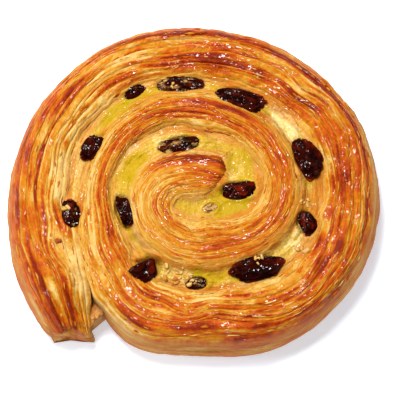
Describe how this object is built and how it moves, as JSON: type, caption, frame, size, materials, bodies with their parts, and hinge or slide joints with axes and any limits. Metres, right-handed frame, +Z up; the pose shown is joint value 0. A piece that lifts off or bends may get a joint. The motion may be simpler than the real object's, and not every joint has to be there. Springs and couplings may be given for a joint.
{
  "type": "pain aux raisins",
  "caption": "Baked spiral of laminated dough wound around a custard ribbon, with raisins showing in the custard; a flat-based pastry to be set on a plate or tray.",
  "frame": {"origin": "centre of the outline seen from above, on the flat base", "axes": "+Z up through the spiral, +X to the right and +Y away from the viewer with the dough's free end at the front left"},
  "size_m": [0.1134, 0.1008, 0.0315],
  "materials": {
    "dough": "golden-brown baked laminated dough, egg-washed and glazed on top, matt on the side",
    "custard": "baked yellow pastry custard, smooth and slightly glossy",
    "raisin": "dark brown wrinkled raisin skin, glazed"
  },
  "bodies": {
    "root": {"dough": "dough", "custard": "custard", "raisin_01": "raisin", "raisin_02": "raisin", "raisin_03": "raisin", "raisin_04": "raisin", "raisin_05": "raisin", "raisin_06": "raisin", "raisin_07": "raisin", "raisin_08": "raisin", "raisin_09": "raisin", "raisin_10": "raisin", "raisin_11": "raisin", "raisin_12": "raisin", "raisin_13": "raisin", "raisin_14": "raisin"}
  },
  "joints": []
}
